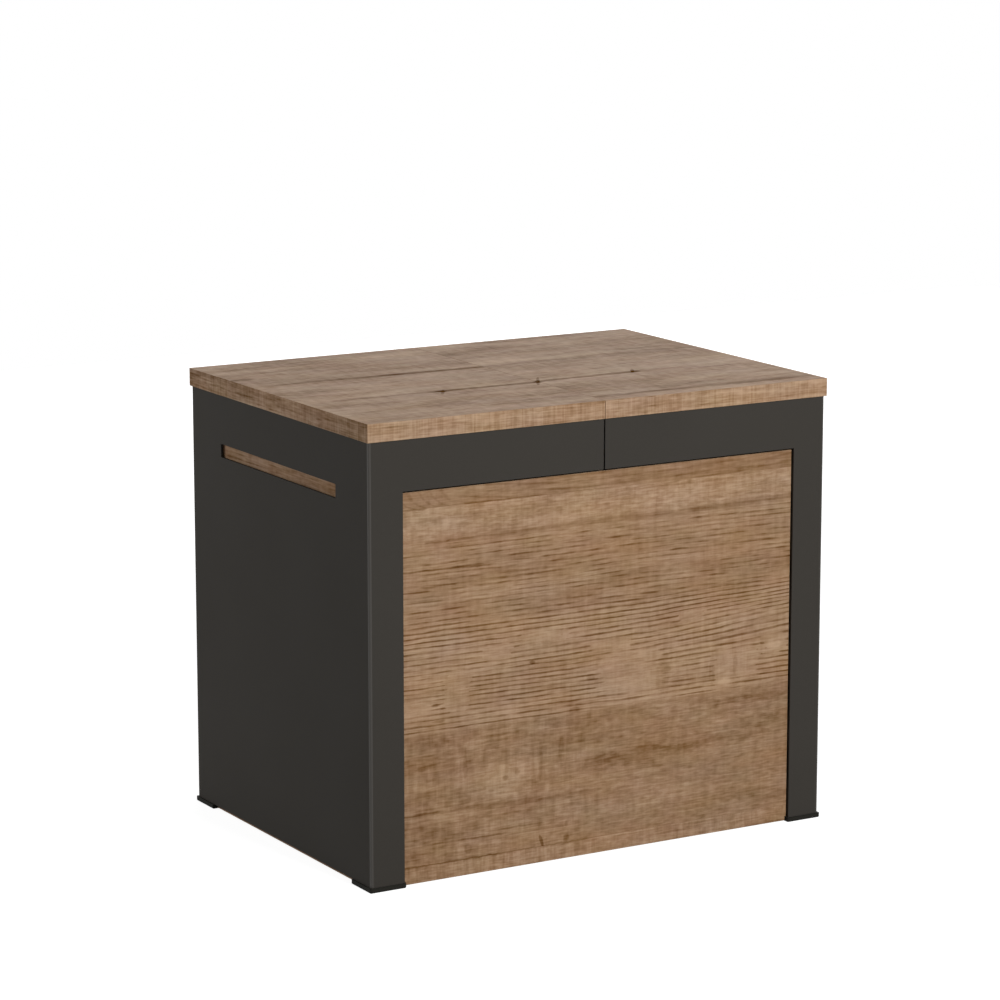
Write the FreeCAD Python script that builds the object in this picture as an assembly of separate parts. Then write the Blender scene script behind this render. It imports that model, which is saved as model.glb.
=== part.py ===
import FreeCAD, Part
import os

# Extending bench, closed. Millimetres, +Z up, +X along the length, front towards -Y.
# The origin is on the floor, in the middle of the bench.
# The right end is modelled, and the left end is the same set of pieces turned half round about Z.

# Overall sizes of the closed bench
TOP_LENGTH = 550.0
TOP_DEPTH = 400.0
TOTAL_HEIGHT = 479.0

# Seat boards and spare leaves
BOARD_THICKNESS = 19.0
BOARD_OVERHANG = 1.6
BOARD_EDGE_RADIUS = 0.3
SEAM_GAP = 0.3
LEAF_COUNT = 4
LEAF_END_GAP = 2.9
LEAF_SIDE_GAP = 1.0

# Locating pins in the seam edges
PIN_RADIUS = 4.0
PIN_OUT = 9.0
PIN_IN = 20.0
PIN_FROM_MIDDLE = 120.0
PIN_TIP_CHAMFER = 1.0
PIN_GLUE_GAP = 0.05
PIN_CLEARANCE = 0.5
PIN_END_ROOM = 3.0

# Folded steel ends
SHEET = 2.0
BEND_RADIUS = 3.0
LEG_FACE = 38.6
APRON_HEIGHT = 52.5
APRON_SETBACK = 0.7
SLOT_LENGTH = 258.0
SLOT_HEIGHT = 14.5
SLOT_CORNER = 1.0
LIP_REACH = 25.0
LIP_SIDE_ROOM = 7.8
LIP_SCREW_INSET = 20.0

# Leg tubes and foot caps
TUBE_SETBACK = 1.6
TUBE_WALL = 1.5
TUBE_CORNER = 3.0
FOOT_HEIGHT = 5.0
FOOT_CORNER = 2.0
FOOT_CHAMFER = 0.8
PLUG_GAP = 0.3
PLUG_HEIGHT = 22.0
PLUG_WALL = 2.5
PLUG_CORNER = 2.0

# Container
PANEL = 18.0
PANEL_RECESS = 3.5
PANEL_LEG_GAP = 0.6
PANEL_APRON_GAP = 2.2
FLOOR_PANEL = 16.0
FOOT_CLEARANCE = 0.8
END_PANEL_CLEARANCE = 2.4
POST_TOP_DROP = 4.0
GLIDE_THICKNESS = 1.2
GLIDE_RADIUS = 8.0
GLIDE_SHANK_RADIUS = 1.5
GLIDE_SHANK_LENGTH = 10.0
GLIDE_X = 170.0
GLIDE_Y = 100.0
GLIDE_INSET = 40.0
DIVIDER_THICKNESS = 5.0
DIVIDER_TOP_DROP = 20.0
DIVIDER_LAP = 3.1
POST_SCREW_COUNT = 3
POST_SCREW_FIRST = 50.0
POST_SCREW_STAGGER = 25.0
POST_SCREW_GRIP = 15.0
POST_SCREW_BITE = 12.0

# Telescopic rails
RAIL_STAGES = 3
RAIL_HEIGHT = 40.0
RAIL_WEB = 4.0
RAIL_WALL = 2.2
RAIL_GAP = 0.6
RAIL_TOP_GAP = 0.6
RAIL_END_GAP = 6.4
STACK_TUBE_GAP = 4.0
MOUTH_HEIGHT = 12.0
MOUTH_DEPTH = 2.5
TEE_HEIGHT = 18.0
TEE_DEPTH = 4.5
CENTRE_WEB = 3.0
SLIDER_CLEARANCE = 0.4
SLIDER_SCREW_COUNT = 3
SLIDER_SCREW_INSET = 20.0
SLIDER_GRIP = 3.0
STOP_INSET = 5.4
STOP_GRIP = 2.5
STOP_CLEARANCE = 1.0

# Brackets
RAIL_BRACKET = 3.0
RAIL_BRACKET_FOOT = 30.0
RAIL_BRACKET_PAST_TUBE = 41.0
RAIL_BRACKET_TRIM = 4.0
RAIL_BRACKET_SCREWS = (12.0, 32.0)
CENTRE_BRACKET_DROP = 60.0
CENTRE_BRACKET_REACH = 48.0
CENTRE_BRACKET_SCREW_DROPS = (22.0, 47.0)
CENTRE_BRACKET_SCREW_REACHES = (16.0, 37.0)
CENTRE_BRACKET_SCREW_BITE = 12.0
CENTRE_RAIL_SCREW_BITE = 3.5
TOP_BRACKET = 2.0
TOP_BRACKET_WIDTH = 30.0
TOP_BRACKET_HEIGHT = 29.0
TOP_BRACKET_DEPTH = 20.0
TOP_BRACKET_FROM_SEAM = 60.0
TOP_BRACKET_FROM_LEG = 45.0
TOP_SCREW_BITE = 12.0

# Screws
SCREW_RADIUS = 2.0
SCREW_HEAD_RADIUS = 3.6
SCREW_HEAD_HEIGHT = 2.4
SCREW_HEAD_EDGE = 0.6
SCREW_SOCKET_RADIUS = 1.5
SCREW_SOCKET_DEPTH = 1.3
SCREW_FIT = 0.05
HEAD_SIDE_ROOM = 0.6
HEAD_TOP_ROOM = 0.2
BLIND_SPARE = 0.5

COUNTERBORE_RADIUS = SCREW_HEAD_RADIUS + HEAD_SIDE_ROOM
COUNTERBORE_DEPTH = SCREW_HEAD_HEIGHT + HEAD_TOP_ROOM

# Heights and faces that the pieces share
FRAME_TOP = TOTAL_HEIGHT - BOARD_THICKNESS
APRON_BOTTOM = FRAME_TOP - APRON_HEIGHT
STEEL_X = TOP_LENGTH / 2 - BOARD_OVERHANG
STEEL_Y = TOP_DEPTH / 2 - BOARD_OVERHANG
INNER_X = STEEL_X - SHEET
INNER_Y = STEEL_Y - SHEET
LEG_X = STEEL_X - LEG_FACE
LEG_Y = STEEL_Y - LEG_FACE
SEAM_X = SEAM_GAP / 2
APRON_X = SEAM_X + APRON_SETBACK
TUBE = LEG_FACE - SHEET - TUBE_SETBACK
TUBE_Y = INNER_Y - TUBE
RAIL_BRACKET_REACH = TUBE + RAIL_BRACKET_PAST_TUBE
FOOT_WIDTH = LEG_FACE + 2 * BOARD_OVERHANG
FOOT_INNER_X = TOP_LENGTH / 2 - FOOT_WIDTH
FOOT_INNER_Y = TOP_DEPTH / 2 - FOOT_WIDTH

PANEL_X = STEEL_X - PANEL_RECESS
PANEL_Y = STEEL_Y - PANEL_RECESS
PANEL_INNER_X = PANEL_X - PANEL
PANEL_INNER_Y = PANEL_Y - PANEL
PANEL_END_X = LEG_X - PANEL_LEG_GAP
PANEL_END_Y = LEG_Y - PANEL_LEG_GAP
NOTCH_X = FOOT_INNER_X - FOOT_CLEARANCE
NOTCH_Y = FOOT_INNER_Y - FOOT_CLEARANCE
NOTCH_TOP = FOOT_HEIGHT + FOOT_CLEARANCE
CONTAINER_BASE = GLIDE_THICKNESS
FLOOR_TOP = CONTAINER_BASE + FLOOR_PANEL
PANEL_TOP = APRON_BOTTOM - PANEL_APRON_GAP

RAIL_TOP = FRAME_TOP - RAIL_TOP_GAP
RAIL_BOTTOM = RAIL_TOP - RAIL_HEIGHT
RAIL_MIDDLE = (RAIL_TOP + RAIL_BOTTOM) / 2
RAIL_HALF = INNER_X - RAIL_END_GAP
SLOT_DEPTH = MOUTH_DEPTH + TEE_DEPTH
RAIL_THICKNESS = SLOT_DEPTH + RAIL_WEB
RAIL_PITCH = RAIL_THICKNESS + RAIL_GAP
CENTRE_THICKNESS = 2 * SLOT_DEPTH + CENTRE_WEB
STACK_OUTER = TUBE_Y - STACK_TUBE_GAP
CENTRE_OUTER = STACK_OUTER - RAIL_STAGES * RAIL_PITCH
CENTRE_INNER = CENTRE_OUTER - CENTRE_THICKNESS
STACK_INNER = CENTRE_INNER - RAIL_STAGES * RAIL_PITCH
LIP_HALF_WIDTH = STACK_INNER - RAIL_BRACKET - LIP_SIDE_ROOM
LIP_SCREW_Y = LIP_HALF_WIDTH - LIP_SCREW_INSET
END_PANEL_TOP = RAIL_BOTTOM - RAIL_BRACKET - END_PANEL_CLEARANCE
POST_TOP = min(PANEL_TOP, END_PANEL_TOP) - POST_TOP_DROP

LEAF_LENGTH = 2 * (PANEL_INNER_X - PIN_OUT - LEAF_END_GAP)
LEAF_PITCH = BOARD_THICKNESS + DIVIDER_THICKNESS + 2 * LEAF_SIDE_GAP
DIVIDER_DEPTH = PIN_OUT + LEAF_END_GAP + DIVIDER_LAP

# Each end opens by half of the leaves, shared equally by the rail stages
END_TRAVEL = LEAF_COUNT * LEAF_LENGTH / 2
RAIL_TRAVEL = END_TRAVEL / RAIL_STAGES
STOP_ROOM = STOP_INSET + SCREW_HEAD_RADIUS + STOP_CLEARANCE
SLIDER_LENGTH = 2 * RAIL_HALF - RAIL_TRAVEL - STOP_ROOM

X_AXIS = FreeCAD.Vector(1, 0, 0)
Y_AXIS = FreeCAD.Vector(0, 1, 0)
Z_AXIS = FreeCAD.Vector(0, 0, 1)
ORIGIN = FreeCAD.Vector(0, 0, 0)
SIDES = (-1, 1)
HALF_TURN = 180
HEX_SIDES = 6
CUT_PAST = 5.0
TOLERANCE = 1e-6


def block(x0, x1, y0, y1, z0, z1):
    """A box between two corners, given in any order."""
    low = FreeCAD.Vector(min(x0, x1), min(y0, y1), min(z0, z1))
    return Part.makeBox(abs(x1 - x0), abs(y1 - y0), abs(z1 - z0), low)


def edges_along(shape, axis):
    """The straight edges of a shape that run along an axis."""
    found = []
    for edge in shape.Edges:
        run = edge.Vertexes[-1].Point - edge.Vertexes[0].Point
        if abs(abs(run.dot(axis)) - run.Length) < TOLERANCE:
            found.append(edge)
    return found


def circles(shape):
    return [edge for edge in shape.Edges if edge.Curve.TypeId == "Part::GeomCircle"]


def eased(shape):
    """A board with its sharp edges taken off."""
    return shape.makeFillet(BOARD_EDGE_RADIUS, shape.Edges)


def turned(shape):
    """The same shape on the other end of the bench, half a turn about Z."""
    return shape.rotated(ORIGIN, Z_AXIS, HALF_TURN)


def mirrored_y(shape):
    """The same shape on the other side of the bench's long middle plane."""
    return shape.mirror(ORIGIN, Y_AXIS)


def cut_all(shape, cutters):
    """A shape less each cutter that reaches it."""
    for cutter in cutters:
        if shape.BoundBox.intersect(cutter.BoundBox):
            shape = shape.cut(cutter)
    return shape


def rod(radius, point, direction, length):
    return Part.makeCylinder(radius, length, point, direction)


def drill(point, direction, length):
    """What a screw hole takes away, from the point along the direction."""
    return rod(SCREW_RADIUS + SCREW_FIT, point, direction, length + BLIND_SPARE)


def screw(point, direction, length):
    """A pan-head screw with a hexagon socket; the point is under the head, on the axis."""
    shank = rod(SCREW_RADIUS, point, direction, length)
    head = rod(SCREW_HEAD_RADIUS, point, -direction, SCREW_HEAD_HEIGHT)
    socket_top = point - direction * SCREW_HEAD_HEIGHT
    rim = [e for e in circles(head) if e.Curve.Center.isEqual(socket_top, TOLERANCE)]
    head = head.makeFillet(SCREW_HEAD_EDGE, rim)
    around = FreeCAD.Rotation(Z_AXIS, direction)
    corners = []
    for corner in range(HEX_SIDES + 1):
        spin = FreeCAD.Rotation(Z_AXIS, 2 * HALF_TURN / HEX_SIDES * corner)
        corners.append(socket_top + around.multVec(spin.multVec(X_AXIS * SCREW_SOCKET_RADIUS)))
    hexagon = Part.Face(Part.makePolygon(corners))
    socket = hexagon.extrude(direction * SCREW_SOCKET_DEPTH)
    return head.fuse(shank).removeSplitter().cut(socket)


def locating_pin(seam_point, outward):
    """A pin that stands out of a seam edge."""
    start = seam_point - outward * PIN_IN
    pin = rod(PIN_RADIUS, start, outward, PIN_IN + PIN_OUT)
    return pin.makeChamfer(PIN_TIP_CHAMFER, circles(pin))


def pin_bore(seam_point, outward):
    return rod(PIN_RADIUS + PIN_GLUE_GAP, seam_point, -outward, PIN_IN + PIN_GLUE_GAP)


def pin_socket(seam_point, outward):
    return rod(PIN_RADIUS + PIN_CLEARANCE, seam_point, -outward, PIN_OUT + PIN_END_ROOM)


# Seat boards

def top_screw_points():
    """Where screws come up through the right end's brackets and lip into its seat board."""
    under = FRAME_TOP - TOP_BRACKET
    points = []
    for x in top_bracket_places():
        for side in SIDES:
            y = side * (INNER_Y - (TOP_BRACKET + TOP_BRACKET_DEPTH) / 2)
            points.append(FreeCAD.Vector(x, y, under))
    for side in SIDES:
        lip_y = side * LIP_SCREW_Y
        points.append(FreeCAD.Vector(INNER_X - LIP_REACH / 2, lip_y, FRAME_TOP - SHEET))
    return points


def top_bracket_places():
    return (SEAM_X + TOP_BRACKET_FROM_SEAM, LEG_X - TOP_BRACKET_FROM_LEG)


def seam_point(side):
    return FreeCAD.Vector(SEAM_X, side * PIN_FROM_MIDDLE, FRAME_TOP + BOARD_THICKNESS / 2)


def half_top():
    """The right half of the seat; its pin is at the front, its socket at the back."""
    half_depth = TOP_DEPTH / 2
    board = eased(block(SEAM_X, TOP_LENGTH / 2, -half_depth, half_depth, FRAME_TOP, TOTAL_HEIGHT))
    board = board.cut(pin_bore(seam_point(-1), -X_AXIS))
    board = board.cut(pin_socket(seam_point(1), -X_AXIS))
    for point in top_screw_points():
        board = board.cut(drill(point, Z_AXIS, TOP_BRACKET + TOP_SCREW_BITE))
    return board


def top_pin():
    return locating_pin(seam_point(-1), -X_AXIS)


def top_screws():
    return [screw(point, Z_AXIS, TOP_BRACKET + TOP_SCREW_BITE) for point in top_screw_points()]


# Folded steel end

def folded_box(x_high, y_half, radius):
    """The space inside or outside the folded sheet, open towards the seam."""
    solid = block(APRON_X, x_high, -y_half, y_half, FOOT_HEIGHT, FRAME_TOP)
    folds = [e for e in edges_along(solid, Z_AXIS) if e.BoundBox.Center.x > x_high / 2]
    return solid.makeFillet(radius, folds)


def end_frame():
    """End panel, leg faces and half aprons, folded from one sheet, with a lip under the seat."""
    frame = folded_box(STEEL_X, STEEL_Y, BEND_RADIUS)
    frame = frame.cut(folded_box(INNER_X, INNER_Y, BEND_RADIUS - SHEET))
    opening = block(APRON_X - CUT_PAST, LEG_X, -TOP_DEPTH, TOP_DEPTH, FOOT_HEIGHT - CUT_PAST, APRON_BOTTOM)
    frame = frame.cut(opening)
    slot = block(INNER_X - CUT_PAST, STEEL_X + CUT_PAST, -SLOT_LENGTH / 2, SLOT_LENGTH / 2,
                 APRON_BOTTOM - SLOT_HEIGHT, APRON_BOTTOM)
    frame = frame.cut(slot.makeFillet(SLOT_CORNER, edges_along(slot, X_AXIS)))
    lip = block(INNER_X - LIP_REACH, INNER_X, -LIP_HALF_WIDTH, LIP_HALF_WIDTH, FRAME_TOP - SHEET, FRAME_TOP)
    frame = frame.fuse(lip).removeSplitter()
    for side in SIDES:
        point = FreeCAD.Vector(INNER_X - LIP_REACH / 2, side * LIP_SCREW_Y, FRAME_TOP - SHEET)
        frame = frame.cut(drill(point, Z_AXIS, SHEET))
    return frame


def square_bar(size, corner, centre_x, centre_y, z0, z1):
    half = size / 2
    bar = block(centre_x - half, centre_x + half, centre_y - half, centre_y + half, z0, z1)
    return bar.makeFillet(corner, edges_along(bar, Z_AXIS))


def leg_centre(side):
    return INNER_X - TUBE / 2, side * (INNER_Y - TUBE / 2)


def leg_tube(side):
    """The square tube inside one folded corner."""
    x, y = leg_centre(side)
    outside = square_bar(TUBE, TUBE_CORNER, x, y, FOOT_HEIGHT, FRAME_TOP)
    inside = square_bar(TUBE - 2 * TUBE_WALL, TUBE_CORNER - TUBE_WALL, x, y,
                        FOOT_HEIGHT - CUT_PAST, FRAME_TOP + CUT_PAST)
    return outside.cut(inside)


def foot_cap(side):
    """A plastic cap under the leg, with a hollow plug that goes up into the tube."""
    pad_x = TOP_LENGTH / 2 - FOOT_WIDTH / 2
    pad_y = side * (TOP_DEPTH / 2 - FOOT_WIDTH / 2)
    pad = square_bar(FOOT_WIDTH, FOOT_CORNER, pad_x, pad_y, 0, FOOT_HEIGHT)
    rim = [e for e in pad.Edges if e.BoundBox.ZMax < FOOT_HEIGHT / 2]
    pad = pad.makeChamfer(FOOT_CHAMFER, rim)
    x, y = leg_centre(side)
    plug_size = TUBE - 2 * TUBE_WALL - 2 * PLUG_GAP
    plug_top = FOOT_HEIGHT + PLUG_HEIGHT
    plug = square_bar(plug_size, PLUG_CORNER, x, y, FOOT_HEIGHT, plug_top)
    hollow_size = plug_size - 2 * PLUG_WALL
    hollow = block(x - hollow_size / 2, x + hollow_size / 2, y - hollow_size / 2, y + hollow_size / 2,
                   FOOT_HEIGHT, plug_top + CUT_PAST)
    return pad.fuse(plug.cut(hollow)).removeSplitter()


def top_brackets():
    """Angles inside the aprons that carry the seat board."""
    brackets = []
    for x in top_bracket_places():
        for side in SIDES:
            x0 = x - TOP_BRACKET_WIDTH / 2
            x1 = x + TOP_BRACKET_WIDTH / 2
            face = side * INNER_Y
            upright = block(x0, x1, face, face - side * TOP_BRACKET,
                            FRAME_TOP - TOP_BRACKET_HEIGHT, FRAME_TOP)
            flat = block(x0, x1, face, face - side * TOP_BRACKET_DEPTH,
                         FRAME_TOP - TOP_BRACKET, FRAME_TOP)
            bracket = upright.fuse(flat).removeSplitter()
            for point in top_screw_points():
                bracket = bracket.cut(drill(point, Z_AXIS, TOP_BRACKET))
            brackets.append(bracket)
    return brackets


# Telescopic rails

def rail_bar(y_low, thickness, slot_sides):
    """A hollow bar along X with a T-slot on the sides named, -1 towards -Y and 1 towards +Y."""
    y_high = y_low + thickness
    bar = block(-RAIL_HALF, RAIL_HALF, y_low, y_high, RAIL_BOTTOM, RAIL_TOP)
    ends = RAIL_HALF + CUT_PAST
    for side in slot_sides:
        face = y_high if side > 0 else y_low
        mouth = block(-ends, ends, face, face - side * MOUTH_DEPTH,
                      RAIL_MIDDLE - MOUTH_HEIGHT / 2, RAIL_MIDDLE + MOUTH_HEIGHT / 2)
        tee = block(-ends, ends, face - side * MOUTH_DEPTH, face - side * SLOT_DEPTH,
                    RAIL_MIDDLE - TEE_HEIGHT / 2, RAIL_MIDDLE + TEE_HEIGHT / 2)
        bar = bar.cut(mouth).cut(tee)
    for side in SIDES:
        near = RAIL_MIDDLE + side * (TEE_HEIGHT / 2 + RAIL_WALL)
        far = RAIL_MIDDLE + side * (RAIL_HEIGHT / 2 - RAIL_WALL)
        bar = bar.cut(block(-ends, ends, y_low + RAIL_WALL, y_high - RAIL_WALL, near, far))
    return bar


def stack_bases():
    """The +Y faces of the front and back centre rails, where the right end's rails begin."""
    return (-CENTRE_INNER, CENTRE_OUTER)


def rail_low_face(base, stage):
    return base + RAIL_GAP + (stage - 1) * RAIL_PITCH


def stop_point(y_high):
    return FreeCAD.Vector(RAIL_HALF - STOP_INSET, y_high - SLOT_DEPTH, RAIL_MIDDLE)


def stop_screw(y_high):
    """A screw head at the bottom of the slot, which the slider above it runs up to."""
    return screw(stop_point(y_high), -Y_AXIS, STOP_GRIP)


def stop_hole(y_high):
    return drill(stop_point(y_high), -Y_AXIS, STOP_GRIP - BLIND_SPARE)


def slider_screw_places():
    """Distances along X of the screws that hold a slider strip."""
    first = -RAIL_HALF + SLIDER_SCREW_INSET
    last = -RAIL_HALF + SLIDER_LENGTH - SLIDER_SCREW_INSET
    step = (last - first) / (SLIDER_SCREW_COUNT - 1)
    return [first + step * number for number in range(SLIDER_SCREW_COUNT)]


def slider_reach():
    """How far a slider stands out of its own rail, into the slot of the rail beside it."""
    return RAIL_GAP + SLOT_DEPTH - SLIDER_CLEARANCE


def slider(y_low):
    """A T-shaped strip on the plain face of a right-hand rail, at its trailing end."""
    x0 = -RAIL_HALF
    x1 = -RAIL_HALF + SLIDER_LENGTH
    shoulder = y_low - RAIL_GAP - MOUTH_DEPTH - SLIDER_CLEARANCE
    crown = y_low - slider_reach()
    neck_half = MOUTH_HEIGHT / 2 - SLIDER_CLEARANCE
    head_half = TEE_HEIGHT / 2 - SLIDER_CLEARANCE
    neck = block(x0, x1, y_low, shoulder, RAIL_MIDDLE - neck_half, RAIL_MIDDLE + neck_half)
    head = block(x0, x1, shoulder, crown, RAIL_MIDDLE - head_half, RAIL_MIDDLE + head_half)
    strip = neck.fuse(head).removeSplitter()
    for x in slider_screw_places():
        crown_point = FreeCAD.Vector(x, crown, RAIL_MIDDLE)
        strip = strip.cut(rod(COUNTERBORE_RADIUS, crown_point, Y_AXIS, COUNTERBORE_DEPTH))
        strip = strip.cut(drill(crown_point, Y_AXIS, slider_reach()))
    return strip


def slider_screw_points(y_low):
    head_y = y_low - slider_reach() + COUNTERBORE_DEPTH
    return [FreeCAD.Vector(x, head_y, RAIL_MIDDLE) for x in slider_screw_places()]


def slider_screw_length():
    return slider_reach() - COUNTERBORE_DEPTH + SLIDER_GRIP


def slider_screws(y_low):
    return [screw(point, Y_AXIS, slider_screw_length()) for point in slider_screw_points(y_low)]


def moving_rail(base, stage):
    """One right-hand rail, drilled for its slider and, where another rail runs in it, for its stop."""
    y_low = rail_low_face(base, stage)
    bar = rail_bar(y_low, RAIL_THICKNESS, (1,))
    for point in slider_screw_points(y_low):
        bar = bar.cut(drill(point, Y_AXIS, slider_screw_length()))
    y_high = y_low + RAIL_THICKNESS
    if stage < RAIL_STAGES:
        bar = bar.cut(stop_hole(y_high))
    else:
        for point in rail_bracket_screw_points(y_high):
            bar = bar.cut(drill(point, -Y_AXIS, rail_bracket_screw_length()))
    return bar


def rail_bracket_screw_points(y_high):
    """Under the heads of the screws that go through a rail bracket into an outer rail."""
    tip = INNER_X - RAIL_BRACKET_REACH
    y = y_high + RAIL_BRACKET
    return [FreeCAD.Vector(tip + inset, y, RAIL_MIDDLE) for inset in RAIL_BRACKET_SCREWS]


def rail_bracket_screw_length():
    return RAIL_BRACKET + SLOT_DEPTH + SLIDER_GRIP


def rail_bracket(y_high):
    """An angle that holds an outer rail to the end panel."""
    z0 = RAIL_BOTTOM + RAIL_BRACKET_TRIM
    z1 = RAIL_TOP - RAIL_BRACKET_TRIM
    far = y_high + RAIL_BRACKET
    foot = block(INNER_X - RAIL_BRACKET, INNER_X, far - RAIL_BRACKET_FOOT, far, z0, z1)
    arm = block(INNER_X - RAIL_BRACKET_REACH, INNER_X, y_high, far, z0, z1)
    bracket = foot.fuse(arm).removeSplitter()
    for point in rail_bracket_screw_points(y_high):
        bracket = bracket.cut(drill(point, -Y_AXIS, RAIL_BRACKET))
    return bracket


def stage_nodes(stage):
    """The rails, sliders and fixings of one intermediate stage on the right."""
    lows = [rail_low_face(base, stage) for base in stack_bases()]
    rails = [moving_rail(base, stage) for base in stack_bases()]
    sliders = [slider(low) for low in lows]
    fixings = []
    for low in lows:
        fixings.extend(slider_screws(low))
        fixings.append(stop_screw(low + RAIL_THICKNESS))
    return rails, sliders, fixings


def outer_rail_nodes():
    """The rails that are fixed to the right end, with their sliders, brackets and screws."""
    lows = [rail_low_face(base, RAIL_STAGES) for base in stack_bases()]
    rails = [moving_rail(base, RAIL_STAGES) for base in stack_bases()]
    sliders = [slider(low) for low in lows]
    brackets = [rail_bracket(low + RAIL_THICKNESS) for low in lows]
    fixings = []
    for low in lows:
        fixings.extend(slider_screws(low))
        for point in rail_bracket_screw_points(low + RAIL_THICKNESS):
            fixings.append(screw(point, -Y_AXIS, rail_bracket_screw_length()))
    return rails, sliders, brackets, fixings


# Centre rails, which stay on the container

def centre_rail_holes():
    """Holes in the centre rails for their bracket screws and stop screws."""
    right = [stop_hole(base) for base in stack_bases()]
    for side in SIDES:
        for point in centre_bracket_up_points(side):
            right.append(drill(point, Z_AXIS, RAIL_BRACKET + CENTRE_RAIL_SCREW_BITE))
    return right + [turned(hole) for hole in right]


def centre_rail(side):
    """A centre rail with a slot on both faces."""
    y_low = CENTRE_INNER if side > 0 else -CENTRE_OUTER
    return cut_all(rail_bar(y_low, CENTRE_THICKNESS, SIDES), centre_rail_holes())


def centre_bracket_up_points(side):
    """Screws that go up into a centre rail beside the right end panel."""
    y = side * (CENTRE_INNER + CENTRE_OUTER) / 2
    z = RAIL_BOTTOM - RAIL_BRACKET
    return [FreeCAD.Vector(PANEL_INNER_X - reach, y, z) for reach in CENTRE_BRACKET_SCREW_REACHES]


def centre_bracket_side_points(side):
    """Screws that go into the right end panel under a centre rail."""
    y = side * (CENTRE_INNER + CENTRE_OUTER) / 2
    x = PANEL_INNER_X - RAIL_BRACKET
    return [FreeCAD.Vector(x, y, RAIL_BOTTOM - drop) for drop in CENTRE_BRACKET_SCREW_DROPS]


def bracket_side_holes():
    """Holes in both end panels for the centre rails' brackets."""
    right = []
    for side in SIDES:
        for point in centre_bracket_side_points(side):
            right.append(drill(point, X_AXIS, RAIL_BRACKET + CENTRE_BRACKET_SCREW_BITE))
    return right + [turned(hole) for hole in right]


def centre_bracket(side):
    """An angle on the right end panel that carries one end of a centre rail."""
    y0 = side * CENTRE_INNER
    y1 = side * CENTRE_OUTER
    upright = block(PANEL_INNER_X - RAIL_BRACKET, PANEL_INNER_X, y0, y1,
                    RAIL_BOTTOM - CENTRE_BRACKET_DROP, RAIL_BOTTOM)
    flat = block(PANEL_INNER_X - CENTRE_BRACKET_REACH, PANEL_INNER_X, y0, y1,
                 RAIL_BOTTOM - RAIL_BRACKET, RAIL_BOTTOM)
    bracket = upright.fuse(flat).removeSplitter()
    for point in centre_bracket_up_points(side):
        bracket = bracket.cut(drill(point, Z_AXIS, RAIL_BRACKET))
    for point in centre_bracket_side_points(side):
        bracket = bracket.cut(drill(point, X_AXIS, RAIL_BRACKET))
    return bracket


def centre_brackets():
    right = [centre_bracket(side) for side in SIDES]
    return right + [turned(bracket) for bracket in right]


def centre_fixings():
    """Bracket screws at both end panels, and the stop screws in the four slots."""
    right = []
    for side in SIDES:
        for point in centre_bracket_up_points(side):
            right.append(screw(point, Z_AXIS, RAIL_BRACKET + CENTRE_RAIL_SCREW_BITE))
        for point in centre_bracket_side_points(side):
            right.append(screw(point, X_AXIS, RAIL_BRACKET + CENTRE_BRACKET_SCREW_BITE))
    for base in stack_bases():
        right.append(stop_screw(base))
    return right + [turned(piece) for piece in right]


# Container

def foot_notches():
    """What the panels and the bottom leave out so that the foot caps can stand beside them."""
    notches = []
    for side_x in SIDES:
        for side_y in SIDES:
            notches.append(block(side_x * NOTCH_X, side_x * TOP_LENGTH, side_y * NOTCH_Y, side_y * TOP_DEPTH,
                                 -CUT_PAST, NOTCH_TOP))
    return notches


def post_screws_into_front():
    """Points and directions of the screws from one post into the front or back panel, at +X +Y."""
    x = PANEL_END_X - PANEL / 2
    y = PANEL_INNER_Y - POST_SCREW_GRIP
    return [(FreeCAD.Vector(x, y, z), Y_AXIS) for z in post_screw_heights(0)]


def post_screws_into_end():
    """Points and directions of the screws from one post into the end panel, at +X +Y."""
    x = PANEL_INNER_X - POST_SCREW_GRIP
    y = PANEL_END_Y - PANEL / 2
    return [(FreeCAD.Vector(x, y, z), X_AXIS) for z in post_screw_heights(POST_SCREW_STAGGER)]


def post_screw_heights(stagger):
    first = FLOOR_TOP + POST_SCREW_FIRST
    last = POST_TOP - POST_SCREW_FIRST - POST_SCREW_STAGGER
    step = (last - first) / (POST_SCREW_COUNT - 1)
    return [first + stagger + step * number for number in range(POST_SCREW_COUNT)]


def four_corners(shape):
    """Copies of a shape from the +X +Y corner in all four corners."""
    pair = [shape, mirrored_y(shape)]
    return pair + [turned(piece) for piece in pair]


def post_screw_length():
    return POST_SCREW_GRIP + POST_SCREW_BITE


def post_screw_holes():
    holes = []
    for point, direction in post_screws_into_front() + post_screws_into_end():
        holes.extend(four_corners(drill(point, direction, post_screw_length())))
    return holes


def glide_points():
    front_y = PANEL_Y - GLIDE_INSET
    end_x = PANEL_X - GLIDE_INSET
    points = []
    for side_x in SIDES:
        for side_y in SIDES:
            points.append(FreeCAD.Vector(side_x * GLIDE_X, side_y * front_y, 0))
            points.append(FreeCAD.Vector(side_x * end_x, side_y * GLIDE_Y, 0))
    return points


def glide_holes():
    radius = GLIDE_SHANK_RADIUS + SCREW_FIT
    length = GLIDE_THICKNESS + GLIDE_SHANK_LENGTH + BLIND_SPARE
    return [rod(radius, point, Z_AXIS, length) for point in glide_points()]


def glides():
    """Round nail-on glides under the container's floor."""
    pieces = []
    for point in glide_points():
        disc = rod(GLIDE_RADIUS, point, Z_AXIS, GLIDE_THICKNESS)
        shank = rod(GLIDE_SHANK_RADIUS, point, Z_AXIS, GLIDE_THICKNESS + GLIDE_SHANK_LENGTH)
        pieces.append(disc.fuse(shank).removeSplitter())
    return pieces


def long_panel(side):
    """The container's front or back panel, between the legs."""
    panel = eased(block(-PANEL_END_X, PANEL_END_X, side * PANEL_INNER_Y, side * PANEL_Y,
                        CONTAINER_BASE, PANEL_TOP))
    return cut_all(panel, foot_notches() + post_screw_holes())


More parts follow.
